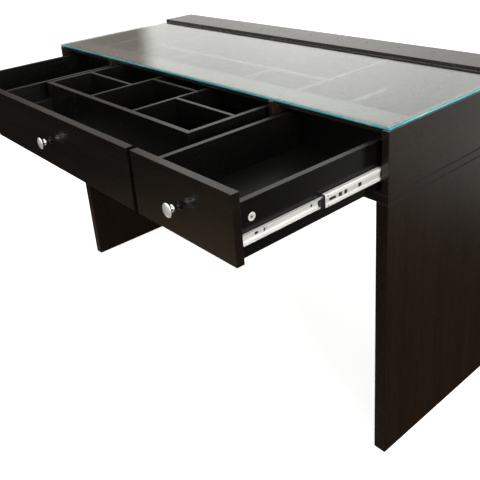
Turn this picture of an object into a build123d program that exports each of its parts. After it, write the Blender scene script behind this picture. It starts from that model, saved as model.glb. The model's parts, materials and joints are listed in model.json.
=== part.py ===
from build123d import *
import math
import os

# Manicure table: glass-topped case on two slab legs, three drawers on ball-bearing slides.
# Units are millimetres. +X is to the sitter's right, +Z is up and the sitter is on the -Y side.
# Lengths along Y are laid out from the front plane of the case, and save() moves every piece so
# that the origin is under the middle of the whole table, drawers open, on the floor.

# ---- driving dimensions ----
WIDTH = 1280.0
DEPTH = 518.0
PANEL = 16.0
EASE = 0.7                      # rounding of the board edges

LEG_THICKNESS = 28.0
LEG_HEIGHT = 602.0
BASE_THICKNESS = 18.0
CASE_TOP = 746.0                # top of the side panels, partitions and front rail

GLASS_THICKNESS = 6.0
GLASS_LIFT = 2.0                # height of the clear bumpers under the glass
GLASS_DEPTH = 409.0
STRIP_FRONT = 410.0
STRIP_HOLES = 9
STRIP_HOLE_PITCH = 102.5
STRIP_HOLE_RADIUS = 2.5
STRIP_HOLE_DEPTH = 10.0
STRIP_HOLE_SETBACK = 43.0       # from the rear edge

PARTITION_X = 334.5             # centre line of each partition
PARTITION_THICKNESS = 12.0
RAIL_FRONT = 18.0
RAIL_REAR = 80.0
RAIL_THICKNESS = 14.0
BATTEN_WIDTH = 16.0
BATTEN_THICKNESS = 11.0
CROSS_BATTEN_Y = 178.0
CENTRE_BATTEN_X = 160.0
SIDE_BATTEN_X = 483.0
SIDE_BATTEN_REAR = 196.0

DRAWER_OPEN = 348.0             # how far the drawers stand out of the case, of 350 mm of travel
FRONT_THICKNESS = 16.0
FRONT_GAP = 1.5                 # all round a drawer front
BOX_LENGTH = 400.0
BOX_WALL = 12.0
BOX_BOTTOM_Z = 624.0
SIDE_BOX_TOP_Z = 721.0
CENTRE_BOX_TOP_Z = 685.0
FLOOR_Z = 631.0                 # underside of the drawer floor
FLOOR_THICKNESS = 5.0
GROOVE_DEPTH = 5.0
GROOVE_SLACK = 0.2

TRAY_TOP_Z = 729.0
TRAY_FRONT_Y = 146.0            # front face of the tray, from the drawer's front face
TRAY_WALL = 12.0
TRAY_DIVIDER = 9.0
COLUMN_X = 95.0                 # centre line of each column divider
SHORT_CROSS_Y = 273.0           # centre line of the short cross dividers
MIDDLE_CROSS_Y = 337.0          # centre line of the middle column's cross divider

SLIDE_Z = 659.0
SLIDE_GAP = 12.7                # between a drawer side and the board beside it
SHEET = 1.1                     # slide steel
BEND = 2.6                      # outer radius of the slide bends
SLIDE_SETBACK = 3.0             # from the drawer front's rear face
OUTER_LENGTH = 350.0
MIDDLE_LENGTH = 330.0
MIDDLE_SETBACK = 8.0            # of the middle member behind the outer one, drawer closed
INNER_HEIGHT = 17.5
INNER_FAR = 8.0                 # how far each member reaches from the drawer side
MIDDLE_HEIGHT = 25.5
MIDDLE_NEAR = 2.0
MIDDLE_FAR = 10.0
WEB_RECESS = 1.6                # of the middle member's web between its raceways
WEB_HALF_HEIGHT = 6.2
RACEWAY_Z = 9.0                 # of a raceway from the middle of the member
OUTER_HEIGHT = 35.0
OUTER_NEAR = 3.6
RIVET_RING_WALL = 1.0
STOP_LENGTH = 3.0               # of the black cap on the middle member's front end
STOP_NOSE = 7.0                 # of its nose, which reaches back inside the inner member
STOP_BRIDGE_X = 8.5             # where the cap's bridge between the raceways begins

KNOB_RADIUS = 13.0
KNOB_REACH = 29.0
KNOB_RIM_Y = 24.8
KNOB_DOME_RADIUS = 12.2         # where the rim's bevel meets the dome
KNOB_DOME_START = 26.0
KNOB_ROSETTE_RADIUS = 7.5
KNOB_NECK_RADIUS = 4.4
KNOB_BEAD_RADIUS = 7.0
KNOB_BEAD_Y = 15.0
KNOB_BEAD_HALF = 1.8

CAM_RADIUS = 7.5
CAM_DEPTH = 9.0
CAM_Z = 689.5
CENTRE_CAM_Z = 676.0
CAM_SETBACK = 30.0
CAM_BOLT_RADIUS = 3.0
CAM_BOLT_IN_FRONT = 11.0

LEG_BOLT_RADIUS = 4.0
LEG_BOLT_HEAD_RADIUS = 7.5
LEG_BOLT_HEAD = 4.0
LEG_BOLT_LENGTH = 55.0
LEG_BOLT_X = 626.0
LEG_BOLT_YS = (60.0, 192.0, 326.0, 458.0)

BUMPER_RADIUS = 4.0

# ---- derived places ----
HALF = WIDTH / 2
SIDE_FACE = HALF - PANEL
BASE_TOP = LEG_HEIGHT + BASE_THICKNESS
GLASS_UNDER = CASE_TOP + GLASS_LIFT
REACH = DRAWER_OPEN + KNOB_REACH
CENTRING = (REACH - DEPTH) / 2
OPEN_FACE = -DRAWER_OPEN
BOX_FRONT = OPEN_FACE + FRONT_THICKNESS
BOX_REAR = BOX_FRONT + BOX_LENGTH

# Each bay is the clear width between the two boards that a drawer runs between.
BAYS = {
    "left": (-SIDE_FACE, -PARTITION_X - PARTITION_THICKNESS / 2),
    "centre": (-PARTITION_X + PARTITION_THICKNESS / 2, PARTITION_X - PARTITION_THICKNESS / 2),
    "right": (PARTITION_X + PARTITION_THICKNESS / 2, SIDE_FACE),
}

# The members screwed to the case boards, two for each bay, are collected here and saved together.
OUTER_SLIDES = []

os.makedirs("parts", exist_ok=True)


def save(name, shape):
    export_step(Pos(0, CENTRING, 0) * shape, f"parts/{name}.step")


def block(xs, ys, zs):
    """A plain box between two places on each axis."""
    size = Box(xs[1] - xs[0], ys[1] - ys[0], zs[1] - zs[0], align=(Align.MIN, Align.MIN, Align.MIN))
    return Pos(xs[0], ys[0], zs[0]) * size


def board(xs, ys, zs, ease=EASE):
    """A panel with its edges eased, as edge banding leaves them."""
    plain = block(xs, ys, zs)
    return fillet(plain.edges(), ease)


def rod(radius, length, start, axis):
    """A cylinder from a point, along +X, +Y or +Z, or the other way for a negative length."""
    turn = {"x": Rot(0, 90, 0), "y": Rot(-90, 0, 0), "z": Rot(0, 0, 0)}[axis]
    flip = Rot(180, 0, 0) if length < 0 else Rot(0, 0, 0)
    solid = Cylinder(radius, abs(length), align=(Align.CENTER, Align.CENTER, Align.MIN))
    return Pos(*start) * turn * flip * solid


# ---- case ----
def legs():
    for name, side in (("left", -1), ("right", 1)):
        inner, outer = HALF - LEG_THICKNESS, HALF
        xs = (inner, outer) if side > 0 else (-outer, -inner)
        leg = board(xs, (0, DEPTH), (0, LEG_HEIGHT))
        for y in LEG_BOLT_YS:
            depth = LEG_BOLT_LENGTH - BASE_THICKNESS + LEG_BOLT_HEAD
            leg -= rod(LEG_BOLT_RADIUS, -depth, (side * LEG_BOLT_X, y, LEG_HEIGHT), "z")
        save(f"{name}_leg", leg)


def base_panel():
    panel = board((-HALF, HALF), (0, DEPTH), (LEG_HEIGHT, BASE_TOP))
    bolts = []
    for side in (-1, 1):
        for y in LEG_BOLT_YS:
            top = (side * LEG_BOLT_X, y, BASE_TOP)
            head = rod(LEG_BOLT_HEAD_RADIUS, -LEG_BOLT_HEAD, top, "z")
            shank = rod(LEG_BOLT_RADIUS, -LEG_BOLT_LENGTH, top, "z")
            panel -= head + rod(LEG_BOLT_RADIUS, -BASE_THICKNESS, top, "z")
            socket = extrude(RegularPolygon(2.9, 6), -2.5)
            bolts.append(head + shank - Pos(*top) * socket)
    save("bottom_panel", panel)
    save("leg_bolts", Compound(bolts))


def case_walls():
    walls = (BASE_TOP, CASE_TOP)
    save("left_side_panel", board((-HALF, -SIDE_FACE), (0, DEPTH), walls))
    save("right_side_panel", board((SIDE_FACE, HALF), (0, DEPTH), walls))
    rear = DEPTH - PANEL
    save("back_panel", board((-SIDE_FACE, SIDE_FACE), (rear, DEPTH), walls))
    notch = block((-HALF, HALF), (RAIL_FRONT, RAIL_REAR), (CASE_TOP - RAIL_THICKNESS, CASE_TOP))
    for name, side in (("left", -1), ("right", 1)):
        centre = side * PARTITION_X
        xs = (centre - PARTITION_THICKNESS / 2, centre + PARTITION_THICKNESS / 2)
        partition = board(xs, (0, rear), walls)
        save(f"{name}_partition", partition - notch)
    rail_zs = (CASE_TOP - RAIL_THICKNESS, CASE_TOP)
    save("front_rail", board((-SIDE_FACE, SIDE_FACE), (RAIL_FRONT, RAIL_REAR), rail_zs))


def glass_battens():
    zs = (CASE_TOP - BATTEN_THICKNESS, CASE_TOP)
    half = BATTEN_WIDTH / 2
    cross_ys = (CROSS_BATTEN_Y - half, CROSS_BATTEN_Y + half)
    bay = BAYS["centre"]
    battens = [board(bay, cross_ys, zs, 0.5)]
    for side in (-1, 1):
        for x, rear in ((CENTRE_BATTEN_X, cross_ys[0]), (SIDE_BATTEN_X, SIDE_BATTEN_REAR)):
            xs = (side * x - half, side * x + half)
            battens.append(board(xs, (RAIL_REAR, rear), zs, 0.5))
    save("glass_battens", Compound(battens))


def top():
    glass = block((-HALF, HALF), (0, GLASS_DEPTH), (GLASS_UNDER, GLASS_UNDER + GLASS_THICKNESS))
    glass = fillet(glass.edges().filter_by(Axis.Z), 2.0)
    glass = chamfer(glass.faces().filter_by(Axis.Z).edges(), 0.8)
    save("glass_top", glass)
    strip = board((-HALF, HALF), (STRIP_FRONT, DEPTH), (CASE_TOP, CASE_TOP + PANEL))
    first = -STRIP_HOLE_PITCH * (STRIP_HOLES - 1) / 2
    for count in range(STRIP_HOLES):
        mouth = (first + count * STRIP_HOLE_PITCH, DEPTH - STRIP_HOLE_SETBACK, CASE_TOP + PANEL)
        strip -= rod(STRIP_HOLE_RADIUS, -STRIP_HOLE_DEPTH, mouth, "z")
    save("rear_strip", strip)
    dots = []
    for y in (30.0, 200.0, 390.0):
        for x in (-HALF + PANEL / 2, -PARTITION_X, PARTITION_X, HALF - PANEL / 2):
            dots.append(rod(BUMPER_RADIUS, GLASS_LIFT, (x, y, CASE_TOP), "z"))
    save("glass_bumpers", Compound(dots))


# ---- slides ----
def channel(height, near, far, length, web_at_far):
    """A bent steel channel, run along +Y from y = 0. x is the distance from the drawer side."""
    outline = Pos((near + far) / 2, 0) * Rectangle(far - near, height)
    if web_at_far:
        corners = outline.vertices().sort_by(Axis.X)[-2:]
        hollow_xs = (near - 1, far - SHEET)
    else:
        corners = outline.vertices().sort_by(Axis.X)[:2]
        hollow_xs = (near + SHEET, far + 1)
    outline = fillet(corners, BEND)
    middle = (hollow_xs[0] + hollow_xs[1]) / 2
    hollow = Pos(middle, 0) * Rectangle(hollow_xs[1] - hollow_xs[0], height - 2 * SHEET)
    order = hollow.vertices().sort_by(Axis.X)
    hollow = fillet(order[-2:] if web_at_far else order[:2], BEND - SHEET)
    return Rot(90, 0, 0) * extrude(outline - hollow, -length)


def round_hole(y, radius=2.3, z=0.0):
    return rod(radius, 2 * SLIDE_GAP, (-SLIDE_GAP / 2, y, z), "x")


def slot(y, length, height):
    ys = (y - length / 2, y + length / 2)
    return block((-SLIDE_GAP / 2, SLIDE_GAP * 1.5), ys, (-height / 2, height / 2))


def rivet_ring(radius, height, x, y):
    """A raised ring that stands on a web."""
    return rod(radius, height, (x, y, 0), "x") - rod(radius - RIVET_RING_WALL, 2 * height, (x, y, 0), "x")


def inner_member():
    member = channel(INNER_HEIGHT, 0.0, INNER_FAR, OUTER_LENGTH, False)
    member -= slot(33, 7.0, 5.0) + round_hole(157, 2.8) + round_hole(300, 2.8)
    member -= slot(50, 3.5, 8.0)
    return member + rivet_ring(4.2, 0.9, SHEET, 58)


def middle_member():
    """The web is pressed in between two raised ball raceways."""
    member = channel(MIDDLE_HEIGHT, MIDDLE_NEAR, MIDDLE_FAR, MIDDLE_LENGTH, True)
    sunk = MIDDLE_FAR - WEB_RECESS
    inside = WEB_HALF_HEIGHT + SHEET
    member += block((sunk - SHEET, MIDDLE_FAR - SHEET), (0, MIDDLE_LENGTH), (-inside, inside))
    member -= block((sunk, MIDDLE_FAR + 1), (-1, MIDDLE_LENGTH + 1), (-WEB_HALF_HEIGHT, WEB_HALF_HEIGHT))
    for z in (-RACEWAY_Z, RACEWAY_Z):
        member -= round_hole(7, 1.7, z)
    member -= slot(20, 17.0, 5.5) + slot(40, 9.0, 8.0) + slot(54, 8.0, 8.0)
    member -= slot(92, 9.0, 8.0) + slot(250, 20.0, 6.0)
    return member + rivet_ring(4.6, 0.7, sunk, 107)


def outer_member():
    member = channel(OUTER_HEIGHT, OUTER_NEAR, SLIDE_GAP, OUTER_LENGTH, True)
    return member - (round_hole(36) + round_hole(164) + round_hole(292) + slot(60, 9.0, 5.0))


def slide_stop():
    """Black end cap on the middle member's front end, with a nose inside the inner member."""
    cap = channel(MIDDLE_HEIGHT, MIDDLE_NEAR, MIDDLE_FAR, STOP_LENGTH, True)
    ys = (-STOP_NOSE, STOP_LENGTH)
    nose = block((2.6, STOP_BRIDGE_X), ys, (-6.8, 6.8))
    bridge = block((STOP_BRIDGE_X, MIDDLE_FAR), ys, (-9.5, 9.5))
    return Pos(0, -STOP_LENGTH, 0) * (cap + nose + bridge)


def place_slide(shape, face_x, side, y):
    """Puts a slide member beside a drawer side whose outer face is at face_x, facing side."""
    turned = shape if side > 0 else mirror(shape, about=Plane.YZ)
    return Pos(face_x, y, SLIDE_Z) * turned


def slides(bay_name):
    low, high = BAYS[bay_name]
    faces = (("left", low + SLIDE_GAP, -1), ("right", high - SLIDE_GAP, 1))
    closed_front = FRONT_THICKNESS + SLIDE_SETBACK
    inner_y = closed_front - DRAWER_OPEN
    middle_y = closed_front + MIDDLE_SETBACK - DRAWER_OPEN / 2
    stops = []
    for name, face_x, side in faces:
        inner = place_slide(inner_member(), face_x, side, inner_y)
        save(f"{bay_name}_drawer_{name}_inner_slide", inner)
        middle = place_slide(middle_member(), face_x, side, middle_y)
        save(f"{bay_name}_drawer_{name}_middle_slide", middle)
        OUTER_SLIDES.append(place_slide(outer_member(), face_x, side, closed_front))
        stops.append(place_slide(slide_stop(), face_x, side, middle_y))
    save(f"{bay_name}_drawer_slide_stops", Compound(stops))


# ---- drawers ----
def knob(bay_name):
    """Turned chrome knob: rosette, waisted neck with a bead, and a shallow domed head."""
    rise = KNOB_REACH - KNOB_DOME_START
    sphere = (KNOB_DOME_RADIUS**2 + rise**2) / (2 * rise)
    half_angle = math.asin(KNOB_DOME_RADIUS / sphere) / 2
    dome_middle = (sphere * math.sin(half_angle), KNOB_REACH - sphere + sphere * math.cos(half_angle))
    foot = (KNOB_NECK_RADIUS, 3.6)
    bead_start = (KNOB_NECK_RADIUS, KNOB_BEAD_Y - KNOB_BEAD_HALF)
    bead_end = (KNOB_NECK_RADIUS, KNOB_BEAD_Y + KNOB_BEAD_HALF)
    head_start = (6.0, 22.0)
    rim = (KNOB_RADIUS, KNOB_RIM_Y)
    with BuildPart() as turned:
        with BuildSketch(Plane.XY):
            with BuildLine():
                Polyline((0, 0), (KNOB_ROSETTE_RADIUS, 0), (KNOB_ROSETTE_RADIUS, 2.0), (6.4, 3.0), foot)
                ThreePointArc(foot, (3.6, 8.5), bead_start)
                ThreePointArc(bead_start, (KNOB_BEAD_RADIUS, KNOB_BEAD_Y), bead_end)
                ThreePointArc(bead_end, (4.0, 19.4), head_start)
                Polyline(head_start, (KNOB_RADIUS - 0.8, 24.0), rim, (KNOB_DOME_RADIUS, KNOB_DOME_START))
                ThreePointArc((KNOB_DOME_RADIUS, KNOB_DOME_START), dome_middle, (0, KNOB_REACH))
                Line((0, KNOB_REACH), (0, 0))
            make_face()
        revolve(axis=Axis.Y)
    low, high = BAYS[bay_name]
    middle_z = (BASE_TOP + GLASS_UNDER) / 2
    placed = Pos((low + high) / 2, OPEN_FACE, middle_z) * Rot(0, 0, 180) * turned.part
    save(f"{bay_name}_drawer_knob", placed)


def cam_fittings(bay_name, faces, cam_z):
    """Quarter-turn cam locks in the drawer sides, and the bolts that they draw from the front."""
    fittings = []
    cuts = []
    cam_y = BOX_FRONT + CAM_SETBACK
    bolt_length = CAM_BOLT_IN_FRONT + CAM_SETBACK - CAM_RADIUS
    bolt_y = BOX_FRONT - CAM_BOLT_IN_FRONT
    for face_x, side in faces:
        cam = rod(CAM_RADIUS, -side * CAM_DEPTH, (face_x, cam_y, cam_z), "x")
        cuts.append(cam)
        for wide, tall in ((7.0, 1.6), (1.6, 7.0)):
            depth = sorted((face_x - side * 3.0, face_x + side * 3.0))
            ys = (cam_y - wide / 2, cam_y + wide / 2)
            cam -= block(depth, ys, (cam_z - tall / 2, cam_z + tall / 2))
        bolt = rod(CAM_BOLT_RADIUS, bolt_length, (face_x - side * BOX_WALL / 2, bolt_y, cam_z), "y")
        cuts.append(bolt)
        fittings += [cam, bolt]
    save(f"{bay_name}_drawer_cam_fittings", Compound(fittings))
    return cuts


def drawer(bay_name, wall_top, cam_z):
    """The front and the four-sided box with its floor let into grooves. The sides run full
    length, and the rear board stands between them."""
    low, high = BAYS[bay_name]
    left_face, right_face = low + SLIDE_GAP, high - SLIDE_GAP
    left_in, right_in = left_face + BOX_WALL, right_face - BOX_WALL
    rear_in = BOX_REAR - BOX_WALL
    walls = (BOX_BOTTOM_Z, wall_top)
    floor_xs = (left_in - GROOVE_DEPTH, right_in + GROOVE_DEPTH)
    floor_ys = (BOX_FRONT, rear_in + GROOVE_DEPTH)
    floor_zs = (FLOOR_Z, FLOOR_Z + FLOOR_THICKNESS)
    groove = block(
        (floor_xs[0] - GROOVE_SLACK, floor_xs[1] + GROOVE_SLACK),
        (BOX_FRONT - 1, floor_ys[1] + GROOVE_SLACK),
        (floor_zs[0] - GROOVE_SLACK, floor_zs[1] + GROOVE_SLACK),
    )
    front_zs = (BASE_TOP + FRONT_GAP, GLASS_UNDER - FRONT_GAP)
    front = board((low + FRONT_GAP, high - FRONT_GAP), (OPEN_FACE, BOX_FRONT), front_zs)
    left = board((left_face, left_in), (BOX_FRONT, BOX_REAR), walls) - groove
    right = board((right_in, right_face), (BOX_FRONT, BOX_REAR), walls) - groove
    rear = board((left_in, right_in), (rear_in, BOX_REAR), walls) - groove
    for cut in cam_fittings(bay_name, ((left_face, -1), (right_face, 1)), cam_z):
        front -= cut
        left -= cut
        right -= cut
    save(f"{bay_name}_drawer_front", front)
    save(f"{bay_name}_drawer_left_side", left)
    save(f"{bay_name}_drawer_right_side", right)
    save(f"{bay_name}_drawer_back", rear)
    save(f"{bay_name}_drawer_floor", block(floor_xs, floor_ys, floor_zs))
    knob(bay_name)
    slides(bay_name)


def tray():
    """Organiser over the rear of the centre drawer. Its outer walls stand on the low drawer
    sides, and its dividers on the drawer floor."""
    low, high = BAYS["centre"]
    left_face, right_face = low + SLIDE_GAP, high - SLIDE_GAP
    left_in, right_in = left_face + TRAY_WALL, right_face - TRAY_WALL
    front_y = OPEN_FACE + TRAY_FRONT_Y
    cell_y = front_y + TRAY_WALL
    rear_y = BOX_REAR - BOX_WALL
    floor_top = FLOOR_Z + FLOOR_THICKNESS
    half = TRAY_DIVIDER / 2
    tall = (floor_top, TRAY_TOP_Z)
    raised = (CENTRE_BOX_TOP_Z, TRAY_TOP_Z)
    shoulder = block((left_in, right_in), (front_y, cell_y), (floor_top, CENTRE_BOX_TOP_Z + EASE))
    save("tray_front_wall", board((left_face, right_face), (front_y, cell_y), raised) + shoulder)
    save("tray_left_wall", board((left_face, left_in), (cell_y, BOX_REAR), raised))
    save("tray_right_wall", board((right_in, right_face), (cell_y, BOX_REAR), raised))
    save("tray_rear_wall", board((left_in, right_in), (rear_y, BOX_REAR), raised))
    for name, side in (("left", -1), ("right", 1)):
        xs = (side * COLUMN_X - half, side * COLUMN_X + half)
        save(f"tray_{name}_column_divider", board(xs, (cell_y, rear_y), tall))
    cross_y = OPEN_FACE + SHORT_CROSS_Y
    cross_ys = (cross_y - half, cross_y + half)
    left_cross = board((left_in, -COLUMN_X - half), cross_ys, tall)
    right_cross = board((COLUMN_X + half, right_in), cross_ys, tall)
    save("tray_short_cross_dividers", Compound([left_cross, right_cross]))
    middle_y = OPEN_FACE + MIDDLE_CROSS_Y
    middle_ys = (middle_y - half, middle_y + half)
    save("tray_middle_cross_divider", board((half - COLUMN_X, COLUMN_X - half), middle_ys, tall))


legs()
base_panel()
case_walls()
glass_battens()
top()
drawer("left", SIDE_BOX_TOP_Z, CAM_Z)
drawer("centre", CENTRE_BOX_TOP_Z, CENTRE_CAM_Z)
drawer("right", SIDE_BOX_TOP_Z, CAM_Z)
tray()
save("outer_slides", Compound(OUTER_SLIDES))
print("drawers stand open", DRAWER_OPEN, "origin shift", CENTRING)
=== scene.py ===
import json
import math

import bmesh
import bpy
from mathutils import Matrix, Vector


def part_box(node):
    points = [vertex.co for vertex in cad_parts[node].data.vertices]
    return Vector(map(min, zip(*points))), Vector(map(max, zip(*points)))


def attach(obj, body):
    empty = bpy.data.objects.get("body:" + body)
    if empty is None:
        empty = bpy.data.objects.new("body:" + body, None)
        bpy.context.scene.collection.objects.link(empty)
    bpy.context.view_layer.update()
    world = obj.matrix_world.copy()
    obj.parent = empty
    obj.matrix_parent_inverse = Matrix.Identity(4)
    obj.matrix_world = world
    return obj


# Manicure table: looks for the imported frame. Metres, +X to the sitter's right, +Z up.

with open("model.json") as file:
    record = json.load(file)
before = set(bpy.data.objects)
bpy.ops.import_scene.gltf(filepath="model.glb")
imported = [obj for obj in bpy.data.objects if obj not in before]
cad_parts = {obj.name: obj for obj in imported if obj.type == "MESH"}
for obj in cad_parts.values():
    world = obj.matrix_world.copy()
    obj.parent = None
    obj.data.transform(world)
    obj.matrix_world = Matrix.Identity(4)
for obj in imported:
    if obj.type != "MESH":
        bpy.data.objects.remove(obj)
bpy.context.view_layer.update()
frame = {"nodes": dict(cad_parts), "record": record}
NODES = frame["nodes"]
SLOTS = {subpart["node"]: subpart["material_slot"] for subpart in frame["record"]["subparts"]}
BAYS = ("left", "centre", "right")
SIDES = ("left", "right")
scene = bpy.context.scene
scene.view_settings.view_transform = "Standard"


# ---- node helpers ----
class Tree:
    """Short names for building a node tree."""

    def __init__(self, owner):
        owner.use_nodes = True
        self.tree = owner.node_tree
        self.tree.nodes.clear()

    def node(self, kind, inputs=None, **settings):
        made = self.tree.nodes.new(kind)
        for name, value in settings.items():
            setattr(made, name, value)
        for name, value in (inputs or {}).items():
            self.put(made.inputs[name], value)
        return made

    def put(self, socket, value):
        if isinstance(value, bpy.types.NodeSocket):
            self.tree.links.new(value, socket)
        else:
            socket.default_value = value

    def math(self, operation, a, b=0.0):
        return self.node("ShaderNodeMath", {0: a, 1: b}, operation=operation).outputs[0]

    def total(self, start, *parts):
        """start plus the product of each (value, share) pair."""
        for value, share in parts:
            start = self.math("ADD", start, self.math("MULTIPLY", value, share))
        return start

    def distance(self, value, level):
        return self.math("ABSOLUTE", self.math("SUBTRACT", value, level))

    def vector(self, operation, a, b=(0.0, 0.0, 0.0)):
        return self.node("ShaderNodeVectorMath", {0: a, 1: b}, operation=operation).outputs[0]

    def split(self, vector):
        return self.node("ShaderNodeSeparateXYZ", {0: vector}).outputs

    def ramp(self, value, low, high, start=0.0, end=1.0):
        """Turns smoothly from start to end as the value goes from low to high."""
        made = self.node(
            "ShaderNodeMapRange",
            {"Value": value, "From Min": low, "From Max": high, "To Min": start, "To Max": end},
            interpolation_type="SMOOTHSTEP",
        )
        return made.outputs[0]

    def mix(self, share, a, b):
        return self.node("ShaderNodeMix", {0: share, 6: a, 7: b}, data_type="RGBA").outputs[2]

    def noise(self, vector, scale, detail=3.0, roughness=0.5, distortion=0.0):
        inputs = {
            "Vector": vector,
            "Scale": scale,
            "Detail": detail,
            "Roughness": roughness,
            "Distortion": distortion,
        }
        return self.node("ShaderNodeTexNoise", inputs).outputs[0]

    def object_point(self):
        return self.node("ShaderNodeTexCoord").outputs["Object"]

    def surface_normal(self):
        return self.node("ShaderNodeNewGeometry").outputs["Normal"]

    def bump(self, height, distance, strength=1.0, normal=None):
        inputs = {"Height": height, "Distance": distance, "Strength": strength}
        if normal is not None:
            inputs["Normal"] = normal
        return self.node("ShaderNodeBump", inputs).outputs[0]

    def principled(self, **inputs):
        named = {key.replace("_", " "): value for key, value in inputs.items()}
        shader = self.node("ShaderNodeBsdfPrincipled", named)
        self.node("ShaderNodeOutputMaterial", {"Surface": shader.outputs[0]})


def rgb(r, g, b):
    return (r, g, b, 1.0)


def scaled(colour, factor):
    return rgb(*(min(1.0, factor * part) for part in colour[:3]))


def material(name):
    made = bpy.data.materials.new(name)
    return made, Tree(made)


# ---- laminate ----
FIBRE_STRETCH = 0.045       # how much slower the fibres change along the grain than across it
PORE_STRETCH = 0.09
# Painted shade in the seams where the boards meet.
SEAM_CORE = 0.0010          # half width of the dark line where two boards meet
SEAM_END = 0.0024           # where it has faded away
SEAM_PAINTED_SHADE = rgb(0.0008, 0.0007, 0.0006)


def edge_closeness(t):
    """1 on a board's eased edges and 0 on its faces, from the normal turning off its axes."""
    x, y, z = t.split(t.vector("ABSOLUTE", t.surface_normal()))
    widest = t.math("MAXIMUM", t.math("MAXIMUM", x, y), z)
    return t.ramp(widest, low=0.80, high=0.995, start=1.0, end=0.0)


def seam_shade_lines(t, height):
    """1 in the painted shade of the seams above and below the bottom panel, where it meets the boards and
    legs.
    """
    low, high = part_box("bottom_panel")
    under, over = (
        t.ramp(t.distance(height, level), SEAM_CORE, SEAM_END, start=1.0, end=0.0)
        for level in (low.z, high.z)
    )
    return t.math("MAXIMUM", under, over)


def laminate(name, axis, dark, light, warm, roughness, grain_depth, specular):
    """Printed wood-grain laminate: long fibres along one axis, short dark pores, a little haze from
    wiping, and edges that the banding leaves slightly lighter and rougher."""
    made, t = material(name)
    point = t.object_point()

    def along_grain(stretch):
        return t.vector("MULTIPLY", point, tuple(stretch if axis == each else 1.0 for each in "xyz"))

    fibre_point = along_grain(FIBRE_STRETCH)
    broad = t.noise(fibre_point, scale=26.0, detail=3.0, roughness=0.55, distortion=0.35)
    fibre = t.noise(fibre_point, scale=330.0, detail=4.0, roughness=0.62)
    pore_noise = t.noise(along_grain(PORE_STRETCH), scale=620.0, detail=2.0)
    pores = t.ramp(pore_noise, low=0.60, high=0.72)
    haze = t.noise(point, scale=5.5, detail=4.0, roughness=0.6)
    smear = t.noise(t.vector("MULTIPLY", point, (1.0, 0.35, 1.0)), scale=48.0, roughness=0.65)
    patches = t.ramp(t.noise(point, scale=90.0, roughness=0.7), low=0.35, high=0.75)
    skin = t.noise(point, scale=1500.0, detail=2.0)
    edges = edge_closeness(t)
    worn = t.math("MULTIPLY", edges, patches)
    seam_shade = seam_shade_lines(t, t.split(point)[2])

    streak = t.total(0.0, (broad, 0.22), (fibre, 0.78))
    colour = t.mix(t.ramp(streak, low=0.25, high=0.75), dark, light)
    colour = t.mix(t.ramp(broad, low=0.40, high=0.80, end=0.3), colour, warm)
    colour = t.mix(t.math("MULTIPLY", pores, 0.55), colour, scaled(dark, 0.35))
    colour = t.mix(t.math("MULTIPLY", worn, 0.35), colour, scaled(warm, 2.6))
    # Painted shade in the seams above and below the bottom panel.
    colour = t.mix(seam_shade, colour, SEAM_PAINTED_SHADE)

    wear = ((haze, 0.07), (seam_shade, 0.65), (smear, 0.05), (pores, 0.12), (edges, 0.12))
    relief = t.total(0.0, (fibre, 0.6), (pores, -0.5), (skin, 0.25))
    grain = t.bump(relief, grain_depth, strength=0.6)
    waviness = t.noise(point, scale=9.0, detail=2.0, roughness=0.4)
    t.principled(
        Base_Color=colour,
        Roughness=t.math("MINIMUM", t.total(roughness, *wear), 1.0),
        Normal=t.bump(waviness, 0.0006, strength=0.35, normal=grain),
        IOR=1.5,
        Specular_IOR_Level=specular,
    )
    return made


# ---- other materials ----
def hardboard(name):
    """Black-painted hardboard of the drawer floors: fine orange-peel paint with a soft gloss."""
    made, t = material(name)
    point = t.object_point()
    cloud = t.noise(point, scale=14.0, detail=4.0, roughness=0.6)
    peel = t.noise(point, scale=700.0, roughness=0.55)
    dust = t.ramp(t.noise(point, scale=2600.0, detail=1.0), low=0.70, high=0.78)
    colour = t.mix(cloud, rgb(0.0012, 0.0012, 0.0011), rgb(0.0030, 0.0028, 0.0026))
    colour = t.mix(t.math("MULTIPLY", dust, 0.25), colour, rgb(0.05, 0.048, 0.045))
    t.principled(
        Base_Color=colour,
        Roughness=t.total(0.27, (cloud, 0.14)),
        Normal=t.bump(peel, 0.00006, strength=0.7),
        Specular_IOR_Level=0.45,
    )
    return made


# Where the painted shade on the glass's rear edge starts and where it is full.
REAR_EDGE_START = 0.004     # from the rear of the glass
REAR_EDGE_FULL = 0.001


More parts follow.
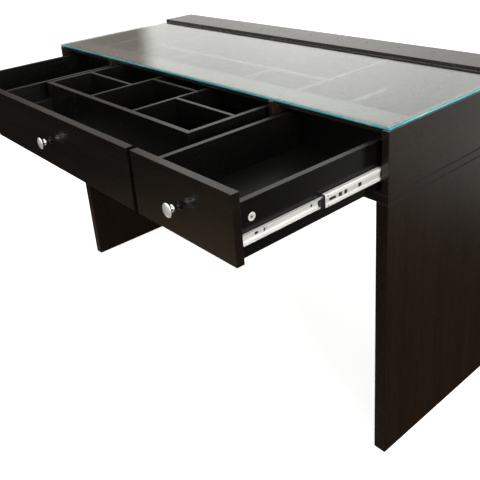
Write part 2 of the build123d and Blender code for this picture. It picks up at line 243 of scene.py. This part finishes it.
def float_glass(name):
    """Float glass: clear faces, and polished edges in the glass's own blue-green with painted light on
    them: darker below, lighter above, painted glints along them, and painted shade on the rear edge,
    which stands close to the strip behind it."""
    clear_tint = rgb(0.90, 0.965, 0.95)
    shaded_lower_teal = rgb(0.004, 0.120, 0.180)
    lit_upper_turquoise = rgb(0.12, 0.72, 0.80)
    painted_blue_glint = rgb(0.005, 0.22, 0.40)
    painted_pale_glint = rgb(0.62, 0.95, 0.90)
    rear_edge_painted_shade = rgb(0.002, 0.010, 0.016)

    made, t = material(name)
    point = t.object_point()
    low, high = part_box("glass_top")
    _, y, height = t.split(point)
    flatness = t.math("ABSOLUTE", t.split(t.surface_normal())[2])
    edge = t.ramp(flatness, low=0.35, high=0.85, start=1.0, end=0.0)
    rise = t.math("DIVIDE", t.math("SUBTRACT", height, low.z), high.z - low.z)
    painted_glint_noise = t.noise(t.vector("MULTIPLY", point, (1.0, 1.0, 6.0)), scale=11.0, detail=4.0, roughness=0.6)
    wipe = t.noise(t.vector("MULTIPLY", point, (0.6, 1.6, 1.0)), scale=7.0, detail=4.0, roughness=0.6)
    smudge = t.ramp(wipe, low=0.60, high=0.80)
    ripple = t.noise(point, scale=1.3, detail=1.0, roughness=0.4)

    # Painted light on the edges' own blue-green: darker on the lower half, lighter on the upper half.
    band = t.mix(t.ramp(rise, low=0.15, high=0.50), shaded_lower_teal, lit_upper_turquoise)
    # Painted blue and pale glints along the edges.
    band = t.mix(t.ramp(painted_glint_noise, low=0.50, high=0.66, end=0.8), band, painted_blue_glint)
    band = t.mix(t.ramp(painted_glint_noise, low=0.34, high=0.42, start=0.75, end=0.0), band, painted_pale_glint)
    # Painted shade on the rear edge, beside the strip behind it.
    band = t.mix(t.ramp(y, high.y - REAR_EDGE_START, high.y - REAR_EDGE_FULL), band, rear_edge_painted_shade)
    t.principled(
        Base_Color=t.mix(edge, clear_tint, band),
        Roughness=t.total(0.0, (smudge, 0.012), (edge, 0.10)),
        Normal=t.bump(ripple, 0.0004, strength=0.04),
        IOR=1.52,
        Transmission_Weight=t.total(1.0, (edge, -0.86)),
    )
    return made


def soft_clear(name):
    """Clear vinyl bumper: slightly milky, with moulding haze."""
    made, t = material(name)
    haze = t.noise(t.object_point(), scale=400.0, roughness=0.6)
    t.principled(
        Base_Color=t.mix(haze, rgb(0.30, 0.33, 0.33), rgb(0.48, 0.51, 0.51)),
        Roughness=t.total(0.22, (haze, 0.2)),
        Normal=t.bump(haze, 0.00005, strength=0.5),
        Transmission_Weight=0.85,
        IOR=1.49,
    )
    return made


# How far each stretch of a knob stands off the drawer front; the foot and the neck carry painted shade.
KNOB_FOOT_END = (0.0110, 0.0128)
KNOB_NECK = 0.0198
KNOB_NECK_HALF = (0.0016, 0.0030)
KNOB_FACE_START = (0.0244, 0.0262)


def chrome(name):
    """Chrome with faint turning rings and fingerprints: a satin face, bright bead and rim, and painted
    shade on the foot and neck."""
    made, t = material(name)
    point = t.object_point()
    rings = t.node(
        "ShaderNodeTexWave",
        {"Vector": point, "Scale": 900.0, "Distortion": 0.6, "Detail": 2.0},
        wave_type="BANDS",
        bands_direction="Y",
    ).outputs["Fac"]
    fingers = t.noise(point, scale=120.0, detail=4.0, roughness=0.65)
    smudge = t.ramp(fingers, low=0.45, high=0.75)
    foot_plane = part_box("left_drawer_knob")[1].y
    reach = t.math("SUBTRACT", foot_plane, t.split(point)[1])
    foot = t.ramp(reach, *KNOB_FOOT_END, start=1.0, end=0.0)
    neck = t.ramp(t.distance(reach, KNOB_NECK), *KNOB_NECK_HALF, start=1.0, end=0.0)
    face = t.ramp(reach, *KNOB_FACE_START)
    # Painted shade on the foot and the neck of the knob.
    shade = t.math("MAXIMUM", foot, neck)
    colour = t.mix(fingers, rgb(0.90, 0.90, 0.91), rgb(0.98, 0.98, 0.98))
    t.principled(
        Base_Color=t.mix(shade, colour, rgb(0.012, 0.012, 0.013)),
        Metallic=t.total(0.8, (face, -0.38)),
        Roughness=t.total(0.035, (smudge, 0.10), (shade, 0.22), (face, 0.12)),
        Normal=t.bump(rings, 0.000004, strength=0.5),
    )
    return made


# Heights from the middle of a slide's web, for its painted shade and the raceways' painted highlights,
# and places behind and before the front of the case, for the painted shade inside it.
WEB_PAINTED_SHADE_FADE = (0.0015, 0.0068)
RACEWAY_PAINTED_HIGHLIGHT_START = (0.0060, 0.0066)
CASE_SHADE_START = 0.026
CASE_SHADE_FULL = 0.008


def zinc(name):
    """Bright zinc on rolled steel: draw lines along the slide, cloudy plating, faint blue and straw
    tints, painted shade on the web, painted highlights on the raceways, and painted shade on what lies
    inside the case."""
    made, t = material(name)
    point = t.object_point()
    drawn = t.noise(t.vector("MULTIPLY", point, (1.0, 0.012, 1.0)), scale=1500.0, roughness=0.6)
    cloud = t.noise(point, scale=42.0, detail=4.0, roughness=0.6)
    tint = t.noise(t.vector("MULTIPLY", point, (1.0, 0.3, 1.0)), scale=16.0, detail=2.0)
    _, y, height = t.split(point)
    low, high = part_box("right_drawer_right_inner_slide")
    off_centre = t.distance(height, (low.z + high.z) / 2)
    case_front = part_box("outer_slides")[0].y
    # Painted shade on the zinc inside the case, fading in behind its front.
    inside = t.ramp(y, case_front - CASE_SHADE_START, case_front - CASE_SHADE_FULL)

    colour = t.mix(cloud, rgb(0.74, 0.74, 0.72), rgb(0.93, 0.93, 0.90))
    colour = t.mix(t.ramp(tint, low=0.52, high=0.72, end=0.45), colour, rgb(0.93, 0.88, 0.74))
    colour = t.mix(t.ramp(tint, low=0.26, high=0.44, start=0.45, end=0.0), colour, rgb(0.70, 0.78, 0.88))
    colour = t.mix(t.math("MULTIPLY", drawn, 0.18), colour, rgb(0.42, 0.42, 0.41))
    # Painted shade on the web in the middle of the slide, then painted highlights on the raceways at its
    # top and bottom.
    colour = t.mix(t.ramp(off_centre, *WEB_PAINTED_SHADE_FADE, start=0.42, end=0.0), colour, rgb(0.36, 0.38, 0.38))
    colour = t.mix(t.ramp(off_centre, *RACEWAY_PAINTED_HIGHLIGHT_START, end=0.25), colour, rgb(0.95, 0.95, 0.92))
    t.principled(
        # The painted shade inside the case goes over the whole colour.
        Base_Color=t.mix(inside, colour, rgb(0.022, 0.026, 0.032)),
        Metallic=0.3,
        Roughness=t.total(0.30, (cloud, 0.16), (drawn, 0.10)),
        Normal=t.bump(drawn, 0.00003, strength=0.5),
        Anisotropic=0.35,
    )
    return made


def moulded_black(name):
    """Black acetal of the slide stops: fine spark-eroded grain and worn, shinier high spots."""
    made, t = material(name)
    point = t.object_point()
    grain = t.noise(point, scale=1800.0, detail=2.0, roughness=0.6)
    wear = t.ramp(t.noise(point, scale=160.0, roughness=0.6), low=0.45, high=0.75)
    t.principled(
        Base_Color=t.mix(wear, rgb(0.0015, 0.0015, 0.0018), rgb(0.0060, 0.0060, 0.0070)),
        Roughness=t.total(0.52, (wear, -0.2)),
        Normal=t.bump(grain, 0.00004, strength=0.6),
    )
    return made


# Where the painted shade in the cross of a cam lock starts and where it is full.
RECESS_PAINTED_SHADE_START = 0.0003       # from the face of the drawer side, for the cross in a cam lock
RECESS_PAINTED_SHADE_FULL = 0.0008


def nickel(name):
    """Die-cast cam locks and bolts: nickel with a cast skin, and painted shade in the recesses."""
    made, t = material(name)
    point = t.object_point()
    skin = t.noise(point, scale=900.0, roughness=0.6)
    cloud = t.noise(point, scale=110.0, roughness=0.6)
    x = t.split(point)[0]
    board_faces = [
        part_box(f"{bay}_drawer_{side}_side")[outer].x for bay in BAYS for outer, side in enumerate(SIDES)
    ]
    sunk = t.distance(x, board_faces[0])
    for board_face in board_faces[1:]:
        sunk = t.math("MINIMUM", sunk, t.distance(x, board_face))
    colour = t.mix(cloud, rgb(0.70, 0.68, 0.63), rgb(0.92, 0.90, 0.85))
    t.principled(
        # Painted shade in the recessed cross of a cam lock.
        Base_Color=t.mix(t.ramp(sunk, RECESS_PAINTED_SHADE_START, RECESS_PAINTED_SHADE_FULL), colour, rgb(0.010, 0.010, 0.010)),
        Metallic=0.35,
        Roughness=t.total(0.24, (cloud, 0.20)),
        Normal=t.bump(skin, 0.00004, strength=0.6),
    )
    return made


# ---- which finish goes where ----
LAMINATES = {
    "case_laminate": {
        "dark": rgb(0.0060, 0.0036, 0.0022),
        "light": rgb(0.0120, 0.0070, 0.0042),
        "warm": rgb(0.0160, 0.0088, 0.0050),
        "roughness": 0.20,
        "grain_depth": 0.00010,
        "specular": 0.50,
    },
    "front_laminate": {
        "dark": rgb(0.0034, 0.0026, 0.0020),
        "light": rgb(0.0090, 0.0068, 0.0050),
        "warm": rgb(0.0140, 0.0090, 0.0060),
        "roughness": 0.12,
        "grain_depth": 0.00007,
        "specular": 0.50,
    },
    "drawer_laminate": {
        "dark": rgb(0.0009, 0.0009, 0.0008),
        "light": rgb(0.0024, 0.0023, 0.0020),
        "warm": rgb(0.0032, 0.0029, 0.0025),
        "roughness": 0.22,
        "grain_depth": 0.00006,
        "specular": 0.45,
    },
}
PLAIN = {
    "drawer_floor": hardboard,
    "glass": float_glass,
    "clear_bumper": soft_clear,
    "knob_chrome": chrome,
    "slide_zinc": zinc,
    "black_plastic": moulded_black,
    "fitting_nickel": nickel,
}
made_materials = {}


def finish_for(slot, axis="x"):
    """The material of a slot, made when it is first asked for. Laminates have one for each grain."""
    key = f"{slot}_{axis}" if slot in LAMINATES else slot
    if key not in made_materials:
        if slot in LAMINATES:
            made_materials[key] = laminate(key, axis, **LAMINATES[slot])
        else:
            made_materials[key] = PLAIN[slot](key)
    return made_materials[key]


def grain_axis(node):
    """A board's grain runs along its longest side."""
    low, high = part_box(node)
    size = high - low
    return "xyz"[max(range(3), key=lambda i: size[i])]


for node, ob in NODES.items():
    finish = finish_for(SLOTS[node], grain_axis(node))
    ob.data.materials.clear()
    ob.data.materials.append(finish)

# Clear glass hardly dims what lies under it, so light goes straight through.
NODES["glass_top"].visible_shadow = False


# ---- what is inside the slides ----
SHARP_ANGLE = math.radians(35.0)
BAR_BEVEL_SEGMENTS = 2

# Spans across the slide, outwards from the drawer side.
KEEPER_DEPTH = (0.0062, 0.0071)
RIB_DEPTH = (0.0050, 0.0063)
PLUG_DEPTH = (0.0082, 0.0087)
CAGE_DEPTH = (0.0033, 0.0070)
BALL_DEPTH = 0.0051

# Spans and places along the slide, from the front end of its middle member.
KEEPER_LENGTH = (0.002, 0.120)
CROSS_RIBS = (0.0125, 0.0200, 0.0275)
CROSS_RIB_HALF = 0.0012
LONG_RIB_LENGTH = (0.004, 0.118)
PLUG_LENGTH = (0.003, 0.012)
CAGE_LENGTH = (0.014, 0.104)
FIRST_BALL = 0.020
BALL_PITCH = 0.0087
BALL_COUNT = 10

# Heights from the middle of the slide.
KEEPER_HALF = 0.0058
CROSS_RIB_REACH = 0.0046
LONG_RIB_HEIGHT = 0.0048
LONG_RIB_HALF = 0.0006
PLUG_HEIGHT = 0.0090
PLUG_HALF = 0.0017
CAGE_HEIGHT = 0.0102
CAGE_HALF = 0.0003

EASE = 0.0003
FINE_EASE = 0.0002
CAGE_EASE = 0.0001
BALL_RADIUS = 0.00135
BALL_SEGMENTS = 12
BALL_RINGS = 8


def new_piece(name, bm, body, slot):
    mesh = bpy.data.meshes.new(name)
    bmesh.ops.recalc_face_normals(bm, faces=bm.faces)
    bm.to_mesh(mesh)
    bm.free()
    ob = bpy.data.objects.new(name, mesh)
    scene.collection.objects.link(ob)
    mesh.materials.append(finish_for(slot))
    for face in mesh.polygons:
        face.use_smooth = True
    mesh.set_sharp_from_angle(angle=SHARP_ANGLE)
    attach(ob, body)


def bar(bm, low, high, ease):
    """A box with eased edges; low and high are its corners."""
    made = bmesh.ops.create_cube(bm, size=1.0)
    size = high - low
    middle = (high + low) / 2
    for vert in made["verts"]:
        vert.co = Vector(vert.co[i] * size[i] + middle[i] for i in range(3))
    edges = list({edge for vert in made["verts"] for edge in vert.link_edges})
    bmesh.ops.bevel(
        bm, geom=edges, offset=ease, segments=BAR_BEVEL_SEGMENTS, affect="EDGES", clamp_overlap=True
    )


def slide_insides(bay, side):
    """What runs inside a slide: two ball cages between the inner and middle members, and the black
    keeper strip that shows through the slots of the middle member's web."""
    low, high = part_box(f"{bay}_drawer_{side}_middle_slide")
    inner_low, inner_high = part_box(f"{bay}_drawer_{side}_inner_slide")
    drawer_face, outwards = (inner_low.x, 1) if side == "right" else (inner_high.x, -1)
    middle = (low.z + high.z) / 2

    def place(depth, along, height):
        return Vector((drawer_face + outwards * depth, low.y + along, middle + height))

    def strip(bm, depths, lengths, height, half, ease):
        a = place(depths[0], lengths[0], height - half)
        b = place(depths[1], lengths[1], height + half)
        corners = [sorted(pair) for pair in zip(a, b)]
        bar(bm, Vector(c[0] for c in corners), Vector(c[1] for c in corners), ease)

    keeper = bmesh.new()
    strip(keeper, KEEPER_DEPTH, KEEPER_LENGTH, 0.0, KEEPER_HALF, EASE)
    for along in CROSS_RIBS:
        lengths = (along - CROSS_RIB_HALF, along + CROSS_RIB_HALF)
        strip(keeper, RIB_DEPTH, lengths, 0.0, CROSS_RIB_REACH, EASE)
    for way in (-1, 1):
        strip(keeper, RIB_DEPTH, LONG_RIB_LENGTH, way * LONG_RIB_HEIGHT, LONG_RIB_HALF, FINE_EASE)
    for way in (-1, 1):
        strip(keeper, PLUG_DEPTH, PLUG_LENGTH, way * PLUG_HEIGHT, PLUG_HALF, FINE_EASE)
    new_piece(f"{bay}_{side}_slide_keeper", keeper, f"{bay}_drawer_slides", "black_plastic")

    cages = bmesh.new()
    for way in (-1, 1):
        height = way * CAGE_HEIGHT
        strip(cages, CAGE_DEPTH, CAGE_LENGTH, height, CAGE_HALF, CAGE_EASE)
        for count in range(BALL_COUNT):
            ball = Matrix.Translation(place(BALL_DEPTH, FIRST_BALL + count * BALL_PITCH, height))
            bmesh.ops.create_uvsphere(
                cages, u_segments=BALL_SEGMENTS, v_segments=BALL_RINGS, radius=BALL_RADIUS, matrix=ball
            )
    new_piece(f"{bay}_{side}_ball_cages", cages, f"{bay}_drawer_slides", "slide_zinc")


for bay in BAYS:
    for side in SIDES:
        slide_insides(bay, side)


# ---- camera ----
CAMERA_PLACE = Vector((1.2919, -0.9371, 1.1473))
CAMERA_AHEAD = Vector((-0.7204, 0.5825, -0.3765)).normalized()
CAMERA_ROLL = math.radians(-4.53)
CAMERA_LENS = 48.24         # mm, on a 36 mm sensor
CAMERA_SENSOR = 36.0
CAMERA_SHIFT_Y = -0.1708
CAMERA_CLIP = (0.05, 100.0)

camera_data = bpy.data.cameras.new("camera")
camera_data.lens = CAMERA_LENS
camera_data.sensor_width = CAMERA_SENSOR
camera_data.shift_y = CAMERA_SHIFT_Y
camera_data.clip_start, camera_data.clip_end = CAMERA_CLIP
camera = bpy.data.objects.new("camera", camera_data)
scene.collection.objects.link(camera)
level = CAMERA_AHEAD.to_track_quat("-Z", "Y").to_matrix().to_4x4()
camera.matrix_world = Matrix.Translation(CAMERA_PLACE) @ level @ Matrix.Rotation(CAMERA_ROLL, 4, "Z")
scene.camera = camera


# ---- floor, studio and lights ----
FLOOR_RADIUS = 30.0
FLOOR_SEGMENTS = 96
FLOOR_DROP = 0.0005         # under the feet, so that the faces don't fight


def pale_floor():
    """A pale disc, lit enough to look white, that keeps a faint shadow of the table."""
    bm = bmesh.new()
    bmesh.ops.create_circle(bm, cap_ends=True, segments=FLOOR_SEGMENTS, radius=FLOOR_RADIUS)
    mesh = bpy.data.meshes.new("studio_floor")
    bm.to_mesh(mesh)
    bm.free()
    floor = bpy.data.objects.new("studio_floor", mesh)
    floor.location = (0, 0, -FLOOR_DROP)
    scene.collection.objects.link(floor)
    made, t = material("studio_floor")
    mottle = t.noise(t.object_point(), scale=1.5)
    colour = t.mix(mottle, rgb(0.93, 0.93, 0.925), rgb(0.95, 0.95, 0.945))
    t.principled(
        Base_Color=colour,
        Roughness=0.9,
        Specular_IOR_Level=0.1,
        Emission_Color=colour,
        Emission_Strength=0.80,
    )
    mesh.materials.append(made)
    floor.visible_glossy = False
    floor.visible_diffuse = False


def studio_world():
    """White where the camera looks. What the table's gloss and its matt faces see is a white backdrop
    behind it that ends on the left, a greyer one on its right, white panels in front of it above the
    horizon, a strip of bright floor on the left, and a dim warm room elsewhere."""
    dim_room = rgb(0.022, 0.020, 0.018)
    warm_glow = rgb(0.34, 0.245, 0.165)
    ceiling = rgb(0.30, 0.30, 0.29)
    far_left_white = rgb(1.19, 1.17, 1.12)
    left_white = rgb(1.36, 1.34, 1.29)
    middle_white = rgb(1.14, 1.12, 1.07)
    right_grey = rgb(0.50, 0.50, 0.47)
    backdrop_top = rgb(0.30, 0.295, 0.28)
    beyond_low = rgb(0.10, 0.075, 0.06)
    beyond_high = rgb(0.45, 0.41, 0.37)
    dark_floor = rgb(0.028, 0.020, 0.014)
    bright_floor = rgb(0.92, 0.91, 0.88)
    panel_left = rgb(1.10, 1.08, 1.04)
    panel_right = rgb(1.45, 1.43, 1.38)
    diffuse_share = 0.38

    world = bpy.data.worlds.new("studio")
    scene.world = world
    t = Tree(world)

    def both(a, b):
        return t.math("MULTIPLY", a, b)

    # A direction's rise is its sine of elevation; back and right are its heading on the floor.
    x, y, rise = t.split(t.node("ShaderNodeTexCoord").outputs["Generated"])
    flat = t.math("MAXIMUM", t.math("SQRT", t.math("ADD", both(x, x), both(y, y))), 0.001)
    back = t.math("DIVIDE", y, flat)
    right = t.math("DIVIDE", x, flat)

    glow = both(t.ramp(rise, low=-0.36, high=-0.56), t.ramp(right, low=-0.70, high=-0.78))
    room = t.mix(glow, dim_room, warm_glow)
    room = t.mix(t.ramp(rise, low=0.25, high=0.9), room, ceiling)
    beyond = t.mix(t.ramp(rise, low=0.0, high=0.3), beyond_low, beyond_high)
    beyond_share = both(t.ramp(back, low=0.25, high=0.42), t.ramp(rise, low=-0.3, high=0.0))
    room = t.mix(beyond_share, room, beyond)
    low_back = both(t.ramp(back, low=0.2, high=0.5), t.ramp(rise, low=-0.40, high=-0.50))
    room = t.mix(low_back, room, dark_floor)
    floor_seen = both(t.ramp(rise, low=-0.57, high=-0.72), t.ramp(right, low=-0.84, high=-0.92))
    room = t.mix(floor_seen, room, bright_floor)

    backdrop = t.mix(t.ramp(right, low=-0.81, high=-0.70), far_left_white, left_white)
    backdrop = t.mix(t.ramp(right, low=-0.68, high=-0.50), backdrop, middle_white)
    backdrop = t.mix(t.ramp(right, low=0.20, high=0.50), backdrop, right_grey)
    left_end = both(t.ramp(back, low=0.508, high=0.538), t.ramp(right, low=0.1, high=0.0))
    right_end = both(t.ramp(back, low=0.62, high=0.78), t.ramp(right, low=0.0, high=0.1))
    wall = both(t.math("ADD", left_end, right_end), t.ramp(rise, low=-0.47, high=-0.37))
    colour = t.mix(wall, room, backdrop)
    colour = t.mix(both(t.ramp(rise, low=0.28, high=0.46, end=0.45), wall), colour, backdrop_top)

    panel = t.mix(t.ramp(right, low=-0.3, high=0.4), panel_left, panel_right)
    ahead = both(t.ramp(back, low=0.1, high=-0.2), t.ramp(rise, low=0.0, high=0.14))
    colour = t.mix(ahead, colour, panel)

    path = t.node("ShaderNodeLightPath").outputs
    strength = t.total(1.0, (path["Is Diffuse Ray"], diffuse_share - 1.0))
    studio = t.node("ShaderNodeBackground", {"Color": colour, "Strength": strength}).outputs[0]
    white = t.node("ShaderNodeBackground", {"Color": rgb(1, 1, 1), "Strength": 1.0}).outputs[0]
    seen = t.node("ShaderNodeMixShader", {0: path["Is Camera Ray"], 1: studio, 2: white}).outputs[0]
    t.node("ShaderNodeOutputWorld", {"Surface": seen})


def softbox(name, place, aim, width, watts, tint=(1.0, 1.0, 1.0)):
    """A square area light that faces a point."""
    light = bpy.data.lights.new(name, "AREA")
    light.shape = "SQUARE"
    light.size = width
    light.energy = watts
    light.color = tint
    ob = bpy.data.objects.new(name, light)
    ob.location = place
    ob.rotation_euler = (Vector(aim) - Vector(place)).to_track_quat("-Z", "Y").to_euler()
    scene.collection.objects.link(ob)


pale_floor()
studio_world()
softbox("overhead", place=(0.0, 0.0, 5.0), aim=(0.0, 0.0, 0.0), width=7.0, watts=130.0)
softbox(
    "key_right",
    place=(4.0, -0.9, 1.5),
    aim=(0.3, 0.0, 0.5),
    width=1.8,
    watts=135.0,
    tint=(1.0, 0.985, 0.96),
)
